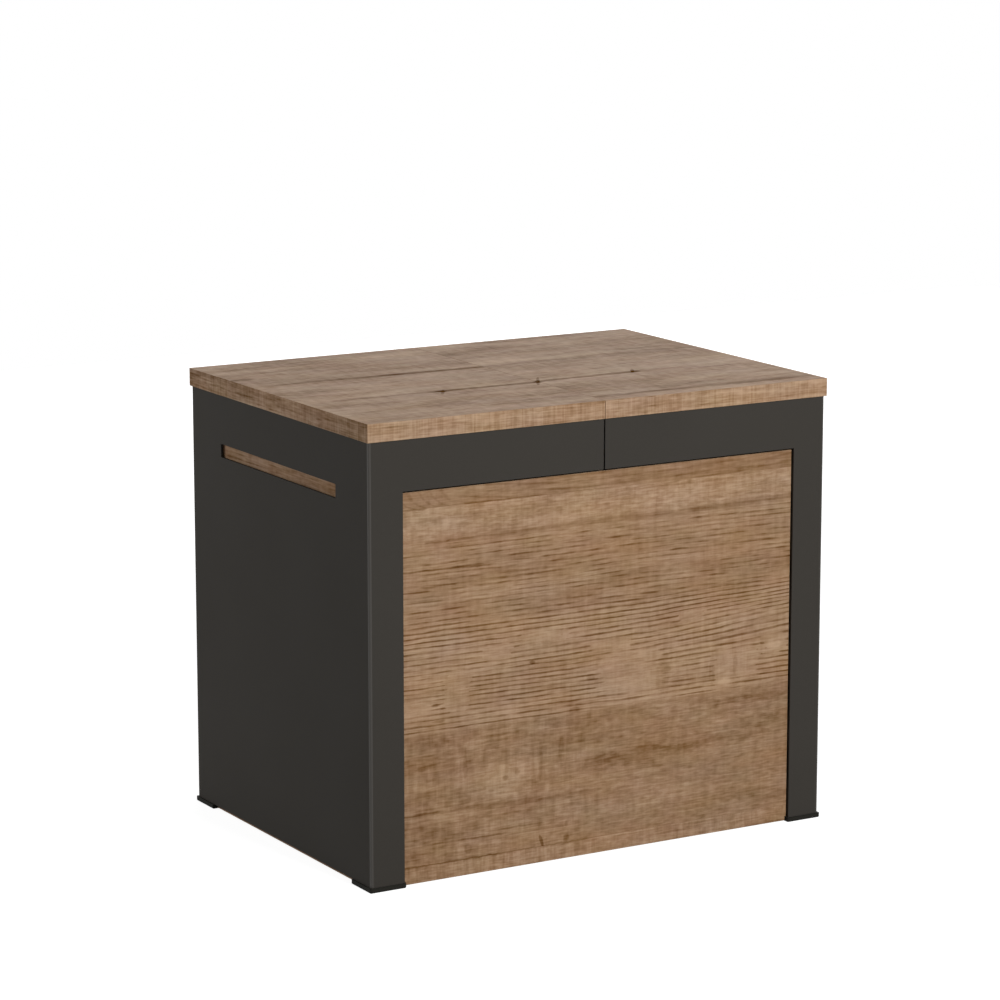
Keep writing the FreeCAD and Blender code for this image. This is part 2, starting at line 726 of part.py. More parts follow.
def end_panel(side):
    """The container's end panel, behind the steel end."""
    panel = eased(block(side * PANEL_INNER_X, side * PANEL_X, -PANEL_END_Y, PANEL_END_Y,
                        CONTAINER_BASE, END_PANEL_TOP))
    return cut_all(panel, foot_notches() + post_screw_holes() + bracket_side_holes())


def bottom_panel():
    """The container's floor, which fills the cross between the four legs."""
    along = block(-PANEL_INNER_X, PANEL_INNER_X, -NOTCH_Y, NOTCH_Y, CONTAINER_BASE, FLOOR_TOP)
    across = block(-NOTCH_X, NOTCH_X, -PANEL_INNER_Y, PANEL_INNER_Y, CONTAINER_BASE, FLOOR_TOP)
    return cut_all(along.fuse(across).removeSplitter(), glide_holes())


def corner_posts():
    """L-shaped posts that join the long panels to the end panels round the legs."""
    x0 = PANEL_END_X - PANEL
    y0 = PANEL_END_Y - PANEL
    to_front = block(x0, PANEL_END_X, y0, PANEL_INNER_Y, FLOOR_TOP, POST_TOP)
    to_end = block(x0, PANEL_INNER_X, y0, PANEL_END_Y, FLOOR_TOP, POST_TOP)
    post = to_front.fuse(to_end).removeSplitter()
    for point, direction in post_screws_into_front() + post_screws_into_end():
        post = post.cut(rod(COUNTERBORE_RADIUS, point, -direction, 2 * PANEL + CUT_PAST))
        post = post.cut(drill(point, direction, post_screw_length()))
    return four_corners(post)


def container_screws():
    pieces = []
    for point, direction in post_screws_into_front() + post_screws_into_end():
        pieces.extend(four_corners(screw(point, direction, post_screw_length())))
    return pieces


def leaf_dividers(side):
    """Battens on one end panel that stand between the stored leaves."""
    x0 = side * (PANEL_INNER_X - DIVIDER_DEPTH)
    battens = []
    for number in range(LEAF_COUNT + 1):
        y = (number - LEAF_COUNT / 2) * LEAF_PITCH
        battens.append(block(x0, side * PANEL_INNER_X, y - DIVIDER_THICKNESS / 2, y + DIVIDER_THICKNESS / 2,
                             FLOOR_TOP, FLOOR_TOP + TOP_DEPTH - DIVIDER_TOP_DROP))
    return battens


# Spare leaves, stored upright on the container's floor

def leaf_seam_points(y):
    """Pin and socket places on the two seam edges of a stored leaf, with their outward directions."""
    middle = FLOOR_TOP + TOP_DEPTH / 2
    places = []
    for side in SIDES:
        outward = X_AXIS * side
        pin = FreeCAD.Vector(side * LEAF_LENGTH / 2, y, middle + side * PIN_FROM_MIDDLE)
        socket = FreeCAD.Vector(side * LEAF_LENGTH / 2, y, middle - side * PIN_FROM_MIDDLE)
        places.append((pin, socket, outward))
    return places


def leaf_and_pins(number):
    """One spare leaf and its two locating pins."""
    y = (number - (LEAF_COUNT - 1) / 2) * LEAF_PITCH
    half = BOARD_THICKNESS / 2
    leaf = eased(block(-LEAF_LENGTH / 2, LEAF_LENGTH / 2, y - half, y + half,
                       FLOOR_TOP, FLOOR_TOP + TOP_DEPTH))
    pins = []
    for pin, socket, outward in leaf_seam_points(y):
        leaf = leaf.cut(pin_bore(pin, outward)).cut(pin_socket(socket, outward))
        pins.append(locating_pin(pin, outward))
    return leaf, pins


def save(name, shapes):
    """Write one node; several solids of one node go into one compound."""
    solids = []
    for shape in shapes:
        solids.extend(shape.Solids)
    shape = solids[0] if len(solids) == 1 else Part.makeCompound(solids)
    if not shape.isValid():
        raise ValueError(name + " is not a valid shape")
    shape.exportStep("parts/" + name + ".step")
    print(name, len(solids), round(shape.Volume))


def save_both_ends(name, shapes):
    """Write a node of the right end, and the same pieces turned for the left end."""
    save("right_" + name, shapes)
    save("left_" + name, [turned(shape) for shape in shapes])


os.makedirs("parts", exist_ok=True)

save("container_front_panel", [long_panel(-1)])
save("container_back_panel", [long_panel(1)])
save("container_left_panel", [end_panel(-1)])
save("container_right_panel", [end_panel(1)])
save("container_bottom_panel", [bottom_panel()])
save("container_corner_posts", corner_posts())
save("container_screws", container_screws())
save("container_glides", glides())
save("leaf_dividers_left", leaf_dividers(-1))
save("leaf_dividers_right", leaf_dividers(1))
save("centre_rail_front", [centre_rail(-1)])
save("centre_rail_back", [centre_rail(1)])
save("centre_rail_brackets", centre_brackets())
save("centre_rail_fixings", centre_fixings())

save_both_ends("end_frame", [end_frame()])
save_both_ends("leg_tubes", [leg_tube(side) for side in SIDES])
save("right_front_foot", [foot_cap(-1)])
save("right_back_foot", [foot_cap(1)])
save("left_front_foot", [turned(foot_cap(1))])
save("left_back_foot", [turned(foot_cap(-1))])
save_both_ends("top", [half_top()])
save_both_ends("top_pin", [top_pin()])
save_both_ends("top_brackets", top_brackets())
save_both_ends("top_screws", top_screws())

outer_rails, outer_sliders, outer_brackets, outer_fixings = outer_rail_nodes()
save_both_ends("outer_rails", outer_rails)
save_both_ends("outer_rail_sliders", outer_sliders)
save_both_ends("outer_rail_brackets", outer_brackets)
save_both_ends("outer_rail_fixings", outer_fixings)

for stage in range(1, RAIL_STAGES):
    stage_rails, stage_sliders, stage_fixings = stage_nodes(stage)
    save_both_ends("rail_%d" % stage, stage_rails)
    save_both_ends("rail_%d_sliders" % stage, stage_sliders)
    save_both_ends("rail_%d_fixings" % stage, stage_fixings)

for number in range(LEAF_COUNT):
    leaf, leaf_pins = leaf_and_pins(number)
    save("leaf_%d" % (number + 1), [leaf])
    save("leaf_%d_pins" % (number + 1), leaf_pins)

print("each end opens by", round(END_TRAVEL, 2), "and each rail stage by", round(RAIL_TRAVEL, 2))
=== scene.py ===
# %% [markdown]
# # An extending bench in oak decor and dark steel
# The bench is built already. Its boards, folded steel ends, rails and screws come in as one frame, each
# piece with its true shape and at its true place. This lesson gives every piece its surface and sets up a
# camera, a floor and soft light. The pieces are never moved, so the bench can still be pulled apart.

# %% Load the frame
import math

import bpy
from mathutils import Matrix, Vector

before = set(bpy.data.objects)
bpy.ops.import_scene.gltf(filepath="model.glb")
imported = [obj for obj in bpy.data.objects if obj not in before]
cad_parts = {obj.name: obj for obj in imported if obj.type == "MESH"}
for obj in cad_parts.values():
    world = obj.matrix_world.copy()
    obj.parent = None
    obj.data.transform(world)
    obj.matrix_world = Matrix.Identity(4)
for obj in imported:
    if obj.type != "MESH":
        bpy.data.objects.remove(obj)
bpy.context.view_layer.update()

print("pieces:", len(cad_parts))

# %% [markdown]
# ## Camera
# The bench is seen from its left front corner, from a little above the seat. A long lens from far away
# keeps the upright edges nearly parallel, as a furniture catalogue does. A camera could be aimed with a
# constraint, but two angles are easier to read: how far it turns from straight ahead, and how far it dips.

# %% Camera
CAMERA_AT = Vector((-1.9835, -3.3663, 1.1208))
CAMERA_TURN = math.radians(30.42)
CAMERA_DIP = math.radians(11.28)
CAMERA_LENS = 134.28

camera = bpy.data.objects.new("camera", bpy.data.cameras.new("camera"))
camera.location = CAMERA_AT
camera.rotation_euler = (math.pi / 2 - CAMERA_DIP, 0.0, -CAMERA_TURN)
camera.data.lens = CAMERA_LENS
bpy.context.scene.collection.objects.link(camera)
bpy.context.scene.camera = camera
bpy.context.scene.view_settings.view_transform = "Standard"

# %% [markdown]
# ## Fields
# A wood figure is a sum of simple things: slow clouds of tone, thin lines, small dark spots. In the shader
# editor that would be hundreds of boxes and wires. Here a small class stands for a number that changes over
# the surface, and plain arithmetic with it adds the boxes and wires.

# %% Fields


def feed(tree, socket, value):
    """Give an input a field, or set it to a plain number."""
    if isinstance(value, Field):
        tree.links.new(value.socket, socket)
    else:
        socket.default_value = value


class Field:
    """A number that changes over a surface."""

    def __init__(self, tree, socket):
        self.tree = tree
        self.socket = socket

    def work(self, operation, *others):
        node = self.tree.nodes.new("ShaderNodeMath")
        node.operation = operation
        for place, value in enumerate((self, *others)):
            feed(self.tree, node.inputs[place], value)
        return Field(self.tree, node.outputs[0])

    def __add__(self, other):
        return self.work("ADD", other)

    def __radd__(self, other):
        return self.work("ADD", other)

    def __sub__(self, other):
        return self.work("SUBTRACT", other)

    def __rsub__(self, other):
        return self.work("MULTIPLY", -1.0) + other

    def __mul__(self, other):
        return self.work("MULTIPLY", other)

    def __abs__(self):
        return self.work("ABSOLUTE")

    def waves(self, step):
        """A wave between -1 and 1 that repeats after each step."""
        return (self * (2 * math.pi / step)).work("SINE")

    def fade(self, nothing, full):
        """0 at one value and 1 at the other, with a smooth step between them."""
        node = self.tree.nodes.new("ShaderNodeMapRange")
        node.interpolation_type = "SMOOTHSTEP"
        feed(self.tree, node.inputs["Value"], self)
        node.inputs["From Min"].default_value = nothing
        node.inputs["From Max"].default_value = full
        return Field(self.tree, node.outputs["Result"])

    def towards(self, other, share):
        """This field where the share is 0, and the other one where it is 1."""
        return self + (other - self) * share


def joined(tree, x, y, z):
    """Three fields as one vector socket."""
    node = tree.nodes.new("ShaderNodeCombineXYZ")
    for place, value in enumerate((x, y, z)):
        feed(tree, node.inputs[place], value)
    return node.outputs[0]


def parted(tree, socket):
    """A vector socket as three fields."""
    node = tree.nodes.new("ShaderNodeSeparateXYZ")
    tree.links.new(socket, node.inputs[0])
    return [Field(tree, output) for output in node.outputs]


# %% [markdown]
# ## A fresh material and the place on a piece
# Every finish starts from Blender's Principled shader. A pattern needs to know where on the piece it is, so
# it reads the object's own coordinates. The frame keeps every piece's origin at the bench's origin, so these
# are the bench's millimetres, and they travel with the piece when it slides.

# %% A fresh material, and colours as a paint chart gives them
MILLIMETRES = 1000.0
PAINT_FULL = 255.0


def paint(red, green, blue):
    """A colour from a paint chart, 0 to 255, as the light that a shader works with."""
    shares = [value / PAINT_FULL for value in (red, green, blue)]
    return [s / 12.92 if s <= 0.04045 else ((s + 0.055) / 1.055) ** 2.4 for s in shares] + [1.0]


def fresh_material(name, roughness, specular, metallic=0.0):
    """A new material with the values that are the same all over it."""
    material = bpy.data.materials.new(name)
    material.use_nodes = True
    shader = material.node_tree.nodes["Principled BSDF"]
    shader.inputs["Roughness"].default_value = roughness
    shader.inputs["Specular IOR Level"].default_value = specular
    shader.inputs["Metallic"].default_value = metallic
    return material, material.node_tree, shader


def places(tree):
    """Where a point of the piece lies, in millimetres along X, Y and Z."""
    source = tree.nodes.new("ShaderNodeTexCoord")
    return [axis * MILLIMETRES for axis in parted(tree, source.outputs["Object"])]


def facings(tree):
    """How much the face looks along X, Y and Z, from 0 to 1, whichever way round."""
    source = tree.nodes.new("ShaderNodeTexCoord")
    return [abs(axis) for axis in parted(tree, source.outputs["Normal"])]


def colour_steps(tree, field, low, high, colours):
    """Colours spread evenly from the field's low value to its high one."""
    ramp = tree.nodes.new("ShaderNodeValToRGB")
    feed(tree, ramp.inputs[0], (field - low) * (1.0 / (high - low)))
    stops = ramp.color_ramp.elements
    while len(stops) < len(colours):
        stops.new(0.5)
    for number, colour in enumerate(colours):
        stops[number].position = number / (len(colours) - 1)
        stops[number].color = colour
    return ramp.outputs[0]


def relief(tree, shader, height, depth):
    """Raise or sink the surface by a field, by up to about that depth in millimetres."""
    bump = tree.nodes.new("ShaderNodeBump")
    bump.inputs["Strength"].default_value = 1.0
    bump.inputs["Distance"].default_value = depth / MILLIMETRES
    feed(tree, bump.inputs["Height"], height)
    tree.links.new(bump.outputs[0], shader.inputs["Normal"])


def dress(material, *names):
    """Give the named pieces this material."""
    for name in names:
        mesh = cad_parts[name].data
        mesh.materials.clear()
        mesh.materials.append(material)
    print(material.name, "on", len(names), "pieces")


# %% [markdown]
# ## The figure of oak decor
# The boards are chipboard with a printed and pressed oak surface. Seen close, the print has slow clouds of
# tone, long fine streaks, short curly flecks, runs of dark ripples a few millimetres apart that start and stop
# abruptly, and faint upright saw marks. Painting it would need a picture. Noise that is stretched along the
# grain gives the same marks, has no seams and is sharp at any distance.

# %% The marks that oak decor is made of
SEED_STEP = 3.71
NOISE_DETAIL = 2.0
NOISE_MIDDLE = 0.5
NOISE_SPREAD = 4.0
CRACK_WANDER = 0.7
CRACK_TAPER = 0.12
SPOT_RAGGED = 0.5
SPOT_RIM = (1.3, 0.2)
AREA_RAGGED = 9.0
AREA_RIM = (2.6, 0.0)


class Figure:
    """The drawing on a face: u runs along the grain, v across it and the layer through it, in millimetres."""

    def __init__(self, tree, u, v, layer, seed):
        self.tree = tree
        self.u = u
        self.v = v
        self.layer = layer
        self.seed = seed
        self.place = joined(tree, u, v, layer)
        self.rough_edge = None

    def cloud(self, along, across, through=1.0):
        """Soft blotches of about that size, mostly between -1 and 1."""
        self.seed += SEED_STEP
        stretch = self.tree.nodes.new("ShaderNodeVectorMath")
        stretch.operation = "MULTIPLY_ADD"
        self.tree.links.new(self.place, stretch.inputs[0])
        stretch.inputs[1].default_value = (1.0 / along, 1.0 / across, 1.0 / through)
        stretch.inputs[2].default_value = (self.seed, self.seed, self.seed)
        noise = self.tree.nodes.new("ShaderNodeTexNoise")
        self.tree.links.new(stretch.outputs[0], noise.inputs["Vector"])
        noise.inputs["Scale"].default_value = 1.0
        noise.inputs["Detail"].default_value = NOISE_DETAIL
        return (Field(self.tree, noise.outputs[0]) - NOISE_MIDDLE) * NOISE_SPREAD

    def mottle(self, size):
        """Blotches of one size in every direction."""
        return self.cloud(size, size, through=size)

    def bent(self, bend):
        """The same board with its lines pushed sideways by a field."""
        return Figure(self.tree, self.u, self.v + bend, self.layer, self.seed + SEED_STEP / 2)

    def edge(self):
        """The small raggedness that the edges of the placed marks share."""
        if self.rough_edge is None:
            self.rough_edge = self.cloud(11.0, 6.0)
        return self.rough_edge

    def crack(self, start, end, height, rise, width):
        """A long line along the grain, which climbs by the rise on its way."""
        along = (self.u - start) * (1.0 / (end - start))
        off = abs(self.v + self.edge() * CRACK_WANDER - along * rise - height)
        return off.fade(width, 0.0) * along.fade(0.0, CRACK_TAPER) * along.fade(1.0, 1.0 - CRACK_TAPER)

    def spot(self, u, v, half_u, half_v, lean):
        """A patch or knot with ragged edges.

        The lean is how far it moves along the grain for each millimetre across."""
        up = (self.v - v) * (1.0 / half_v)
        along = (self.u - u - (self.v - v) * lean) * (1.0 / half_u)
        return (along * along + up * up + self.edge() * SPOT_RAGGED).fade(*SPOT_RIM)

    def area(self, u, v, half_u, half_v):
        """A squarish area with wide ragged edges."""
        up = (self.v - v) * (1.0 / half_v)
        along = (self.u - u + self.edge() * AREA_RAGGED) * (1.0 / half_u)
        return (along * along * along * along + up * up * up * up).fade(*AREA_RIM)


# %% [markdown]
# The marks add up to one number, the tone: below zero is darker than the plain board, above zero is lighter.
# Most marks are only a few times longer than they are high, because the print copies rough-sawn oak, where
# the saw broke the fibres up. Ripples are a sine wave across the grain. A cloud decides where they run, and a
# second one, with one value for each line, makes neighbouring lines stop at different places.

# %% Add the marks up to a tone
RIPPLE_STEP = 5.2
RIPPLES_OFF = -1.6
RIPPLE_DEPTH = 1.4
SLOW_CLOUDS = 0.18
BANDS = 0.24
STREAKS = 0.28
FLECKS = 0.22
DASHES = 0.38
COARSE_SAW = 0.30
FINE_SAW = 0.15


def ripple_lines(figure, grain, ripples):
    """Thin dark lines a few millimetres apart, broken up into runs with tapered ends."""
    spread = figure.cloud(400.0, 40.0) * 1.6
    wave = (grain.v + spread).waves(RIPPLE_STEP)
    line = (wave + grain.cloud(28.0, 2.6) * 0.5).fade(0.0, 1.3)
    runs = figure.cloud(60.0, 22.0) * 0.5 + grain.cloud(24.0, RIPPLE_STEP) * 0.8 + ripples
    return line * runs.fade(-0.4, 1.5) * RIPPLE_DEPTH


def oak_marks(figure, ripples, worms, saw_marks):
    """The tone of oak decor. Ripples run nearly everywhere at 0.6 and nowhere at RIPPLES_OFF.

    The worms, short curly flecks, and the saw marks go from 0 to 1."""
    grain = figure.bent(figure.cloud(300.0, 80.0) * 1.5 + figure.cloud(50.0, 14.0) * 0.5)
    tone = ripple_lines(figure, grain, ripples) * -1.0
    tone = tone + figure.cloud(230.0, 110.0) * SLOW_CLOUDS
    tone = tone + grain.cloud(90.0, 14.0) * BANDS
    tone = tone + grain.cloud(45.0, 1.7) * STREAKS
    tone = tone + (figure.cloud(9.0, 6.0) * FLECKS + grain.cloud(12.0, 3.0) * DASHES) * worms
    saw = figure.cloud(7.0, 45.0) * COARSE_SAW + figure.cloud(2.6, 16.0) * FINE_SAW
    return tone + saw * saw_marks


def placed_marks(figure, spots, cracks):
    """The marks that are listed one by one; the last number of each is its tone."""
    tone = sum(figure.spot(*mark[:5]) * mark[5] for mark in spots)
    return tone + sum(figure.crack(*mark[:5]) * mark[5] for mark in cracks)


# %% [markdown]
# ## A board in oak decor
# A board is printed on its two faces, and its edges are closed with a band of the same print, a little
# lighter and finer, whose grain runs along the edge. One material can hold both, because it knows which way
# a face looks. The tone picks a brown from dark to light, and two more clouds let the brown drift a little
# towards pink and towards olive, as the print does. The dark marks shine less than the light wood between them.

# %% A board in oak decor
OAK_DARKEST = paint(82, 50, 20)
OAK_DARK = paint(114, 83, 53)
OAK_PLAIN = paint(148, 117, 88)
OAK_LIGHT = paint(177, 147, 118)
TONE_LOW = -1.8
TONE_HIGH = 0.9
FACE_TURN = (0.6, 0.8)
EDGE_AWAY = 3000.0
EDGE_CONTRAST = 0.4
LONG_EDGE_LIGHTER = 0.20
END_DARKER = 0.25
OAK_ROUGHNESS = 0.76
OAK_GLOSS = 0.5
PRINT_DEPTH = 0.05
AXES = {"X": 0, "Y": 1, "Z": 2}


def drifted(tree, colour, hue, strength):
    """The colour with its hue and its strength moved by two fields; zero leaves them as they are."""
    node = tree.nodes.new("ShaderNodeHueSaturation")
    feed(tree, node.inputs["Hue"], hue + 0.5)
    feed(tree, node.inputs["Saturation"], strength + 1.0)
    tree.links.new(colour, node.inputs["Color"])
    return node.outputs[0]


def oak_board(name, seed, grain, across, through, draw):
    """An oak decor material; grain, across and through name the board's axes."""
    material, tree, shader = fresh_material(name, OAK_ROUGHNESS, OAK_GLOSS)
    place = places(tree)
    facing = facings(tree)
    on_end = facing[AXES[grain]].fade(*FACE_TURN)
    on_long_edge = facing[AXES[across]].fade(*FACE_TURN)
    on_edge = on_end + on_long_edge
    u = place[AXES[grain]].towards(place[AXES[across]], on_end)
    v = place[AXES[across]].towards(place[AXES[through]] + EDGE_AWAY, on_edge)
    figure = Figure(tree, u, v, on_end * SEED_STEP, seed)
    tone = draw(figure, on_edge) * (on_edge * EDGE_CONTRAST + 1.0)
    tone = tone + on_long_edge * LONG_EDGE_LIGHTER - on_end * END_DARKER
    browns = (OAK_DARKEST, OAK_DARK, OAK_PLAIN, OAK_LIGHT)
    colour = colour_steps(tree, tone, TONE_LOW, TONE_HIGH, browns)
    colour = drifted(tree, colour, figure.cloud(50.0, 26.0) * 0.005, figure.cloud(80.0, 30.0) * 0.06)
    tree.links.new(colour, shader.inputs["Base Color"])
    feed(tree, shader.inputs["Specular IOR Level"], tone.fade(-1.6, 1.2) * OAK_GLOSS)
    relief(tree, shader, figure.cloud(34.0, 2.0), PRINT_DEPTH)
    return material


# %% [markdown]
# ## Front panel
# The front panel shows the print at its liveliest: a broad plank with ripples across its middle, plain light
# patches among them, and a smoky lower half. A second plank begins just under the steel apron, with the arched
# lines of flat-sawn oak, and a third just above the floor. These marks are listed one by one, in millimetres
# from the bench's middle and from the floor.

# %% Front panel
UPPER_PLANK = 387.2
LOWER_PLANK = 18.2
ARC_FOOT = 3.0
ARC_SWING = 12.0
ARC_STEP = 13.0
ARC_PART = (-172.0, -190.0)
SHALLOW_PART = (-185.0, -165.0)
SHALLOW_STEP = 6.6
RIPPLES_BEGIN = (154.0, 158.0)
RIPPLES_END = (275.0, 245.0)
DASHES_BEGIN = (240.0, 265.0)
DASHES_END = (360.0, 344.0)
SMOKE_BELOW = (158.0, 150.0)
BAND_ABOVE = (352.0, 362.0)

# along, up, half length, half height, lean, tone
FRONT_SPOTS = (
    (-83.0, 214.5, 4.0, 2.4, 0.0, -1.0), (-197.0, 184.0, 6.0, 1.8, 0.0, -0.8),
    (-193.0, 167.0, 9.0, 2.0, 0.0, -0.6), (-13.0, 190.0, 6.0, 4.0, 0.0, -0.5),
    (-33.0, 158.0, 7.0, 4.0, 0.0, -0.4), (76.0, 181.0, 9.0, 26.0, 0.0, -0.4),
    (137.0, 180.0, 4.0, 20.0, 0.0, -0.3), (166.0, 181.0, 3.0, 12.0, 0.0, -0.3),
    (-2.0, 99.0, 30.0, 10.0, 0.0, -0.4), (50.0, 99.0, 70.0, 10.0, -1.0, -0.4),
    (155.0, 102.0, 70.0, 6.0, 0.0, -0.25), (195.0, 117.0, 50.0, 7.0, 0.0, -0.3),
    (190.0, 143.0, 50.0, 4.0, 0.0, -0.3), (-208.0, 120.0, 13.0, 3.0, 3.0, -0.4),
    (-162.0, 118.0, 3.0, 16.0, 0.0, -0.35), (-129.0, 138.0, 12.0, 9.0, 0.0, -0.25),
    (-73.0, 110.0, 3.0, 22.0, 0.0, -0.35), (-48.0, 116.0, 4.0, 17.0, 0.0, -0.35),
    (-115.0, 97.0, 4.0, 3.0, 0.0, -0.5), (-101.0, 102.0, 3.0, 4.0, 0.0, -0.5),
    (-84.0, 89.0, 8.0, 2.5, -2.0, -0.45), (-180.0, 47.0, 42.0, 10.0, 0.0, -0.25),
    (-72.0, 24.0, 2.2, 6.5, -0.3, -0.9), (-42.0, 23.0, 4.0, 5.0, 0.0, -0.5),
    (-42.0, 38.0, 2.0, 4.0, 0.0, -0.4), (-159.0, 29.0, 4.0, 6.0, 0.0, -0.4),
    (-152.0, 139.0, 12.0, 8.0, 0.0, 0.3), (-114.0, 95.0, 32.0, 19.0, 0.0, 0.25),
    (-172.0, 65.0, 30.0, 5.5, 0.0, 0.3), (152.0, 165.0, 10.0, 4.0, 0.0, 0.35),
    (214.0, 198.0, 12.0, 5.0, 0.0, 0.3),
)
# start, end, height, rise, width, tone
FRONT_STREAKS = (
    (-210.0, -178.0, 351.8, 0.0, 2.0, -0.6), (-185.0, -150.0, 352.4, 0.0, 2.0, -0.4),
    (-160.0, 140.0, 353.0, 1.0, 5.0, -0.35), (100.0, 260.0, 353.5, 3.0, 6.0, -0.65),
    (-250.0, -120.0, 324.0, -2.0, 1.6, -0.8), (-216.0, -170.0, 306.8, 0.0, 1.6, -0.6),
    (-245.0, -190.0, 71.5, 1.5, 2.0, -0.9), (-175.0, 0.0, 71.5, -4.0, 5.0, -0.4),
    (-212.0, -110.0, 39.0, 0.0, 1.6, -0.5), (-125.0, -66.0, 43.5, 0.0, 1.6, -0.5),
    (-250.0, -120.0, LOWER_PLANK, 0.0, 1.6, -0.9), (-150.0, 0.0, LOWER_PLANK, 0.0, 1.4, -0.6),
    (-30.0, 150.0, LOWER_PLANK - 1.0, 0.0, 1.0, 0.5), (-240.0, -205.0, UPPER_PLANK - 0.4, 0.0, 1.4, -0.6),
    (-165.0, -105.0, UPPER_PLANK, 0.0, 1.4, -0.7), (-115.0, 20.0, UPPER_PLANK, 0.0, 1.2, -0.35),
)
# along, up, half length, half height
CALM_AREAS = (
    (36.0, 190.0, 34.0, 22.0), (152.0, 179.0, 13.0, 20.0),
    (181.0, 181.0, 14.0, 16.0), (214.0, 197.0, 15.0, 8.0),
    (-70.0, 238.0, 25.0, 8.0), (-123.0, 230.0, 16.0, 8.0),
    (-172.0, 195.0, 12.0, 20.0), (-220.0, 184.0, 22.0, 9.0),
    (10.0, 222.0, 24.0, 7.0), (110.0, 238.0, 16.0, 7.0),
)


def arches(figure):
    """The lines of flat-sawn oak in the upper plank: a few arcs on the left, shallow lines on the right."""
    climb = (figure.v - UPPER_PLANK + ARC_FOOT).work("LOGARITHM", math.e)
    arcs = (climb * ARC_SWING + figure.u + figure.cloud(30.0, 12.0) * 2.0).waves(ARC_STEP)
    arcs = (arcs + figure.cloud(8.0, 6.0) * 0.5).fade(0.1, 1.5) * figure.u.fade(*ARC_PART)
    left = figure.u.work("MINIMUM", 0.0)
    right = (figure.u - 40.0).work("MAXIMUM", 0.0)
    bent = figure.bent(figure.cloud(70.0, 30.0) * 1.2 - left * left * 0.0004 - right * right * 0.00027)
    shallow = (bent.v.waves(SHALLOW_STEP) + bent.cloud(50.0, 4.0) * 0.9).fade(0.0, 1.9)
    return arcs * 0.8 + shallow * figure.u.fade(*SHALLOW_PART)


def front_figure(figure, on_edge):
    """The front panel, from the plank above the floor up to the plank under the apron."""
    u = figure.u
    v = figure.v
    upper = v.fade(UPPER_PLANK - 0.3, UPPER_PLANK + 0.3) * (1.0 - on_edge)
    lower = v.fade(LOWER_PLANK + 0.3, LOWER_PLANK - 0.3)
    tilt = (u - 60.0).work("MAXIMUM", 0.0) * (abs(v - 235.0).fade(45.0, 0.0) * -0.06)
    figure = Figure(figure.tree, u, v + tilt, figure.layer + upper * 5.3 + lower * 9.1, figure.seed)
    zone = v.fade(*RIPPLES_BEGIN) * v.fade(*RIPPLES_END)
    dash_zone = v.fade(*DASHES_BEGIN) * v.fade(*DASHES_END)
    smoky = v.fade(*SMOKE_BELOW)
    ripples = zone * 2.5 + dash_zone * 1.95 + RIPPLES_OFF
    ripples = ripples - sum(figure.area(*area) for area in CALM_AREAS) * 1.3
    left_smoke = smoky * u.fade(40.0, -80.0)
    band = v.fade(*BAND_ABOVE) * (1.0 - upper)
    saw = left_smoke * 0.4 + band * 0.3 + lower * 0.5 + 0.5
    tone = oak_marks(figure, ripples, smoky * 0.3 + band * 0.4 + 0.6, saw)
    tone = tone + band * 0.18 - upper * 0.30 + zone * 0.28 + dash_zone * 0.05 - smoky * 0.2
    tone = tone + lower * 0.15 - arches(figure) * upper * 0.5
    figure = Figure(figure.tree, u, v, figure.layer, figure.seed)
    return tone + placed_marks(figure, FRONT_SPOTS, FRONT_STREAKS)


dress(oak_board("oak_front", 1.3, "X", "Z", "Y", front_figure), "container_front_panel")

# %% [markdown]
# ## Seat boards
# The two seat boards are cut from one long sheet, so the grain changes at the seam. Each has a few long cracks
# along the grain and dark knots on them. The edge bands carry a fine upright hatch as well. Seen at a low
# angle the faint gloss of the print makes the seat look greyer than the front. That comes from the shader and
# the light, so the colour here stays the same.

# %% Seat boards
HATCH_SEED = 310.9
HATCH = 0.22

# along, across, half length, half width, lean, tone
LEFT_SEAT_SPOTS = (
    (-118.0, -73.0, 2.6, 13.0, 0.58, -0.9), (-117.0, -67.0, 7.0, 5.0, 0.0, -0.8),
    (1.0, -65.0, 2.6, 22.0, 0.58, -1.1), (1.0, -67.0, 8.0, 5.0, 0.0, -0.8),
    (-270.0, 100.0, 30.0, 5.0, 0.0, -0.8), (-128.0, 8.0, 30.0, 5.0, 0.0, -0.4),
)
RIGHT_SEAT_SPOTS = (
    (1.0, -65.0, 2.6, 22.0, 0.58, -1.1), (1.0, -67.0, 8.0, 5.0, 0.0, -0.8),
    (124.0, -55.0, 2.6, 12.0, 0.58, -0.9), (125.0, -60.0, 7.0, 5.0, 0.0, -0.8),
    (150.0, 50.0, 150.0, 12.0, 0.0, -0.35),
)
# start, end, place across, rise, width, tone
LEFT_SEAT_CRACKS = (
    (-260.0, 40.0, 54.0, -8.0, 8.0, -0.6), (-130.0, 40.0, 51.0, -5.0, 9.0, -0.7),
    (-260.0, 40.0, -64.0, -4.0, 8.0, -0.5), (-140.0, 40.0, -66.0, -2.0, 8.0, -0.9),
)
RIGHT_SEAT_CRACKS = (
    (-30.0, 135.0, -64.0, 4.0, 9.0, -1.2), (70.0, 190.0, -61.0, 0.0, 8.0, -0.4),
    (-30.0, 260.0, -177.0, 0.0, 9.0, -0.9),
)


def seat_marks(figure, on_edge):
    """What both seat boards share: few ripples, short dashes, slow drifts and the hatch on the edges."""
    tone = oak_marks(figure, on_edge * 0.2 - 0.6, 0.8 - on_edge * 0.2, 0.7 - on_edge * 0.3)
    drift = figure.cloud(170.0, 80.0) * 0.3 + figure.cloud(110.0, 30.0) * 0.42 + 0.08
    hatch = Figure(figure.tree, figure.u, figure.v, figure.layer, HATCH_SEED).cloud(1.9, 60.0)
    return tone + drift * (1.0 - on_edge) + hatch * on_edge * HATCH


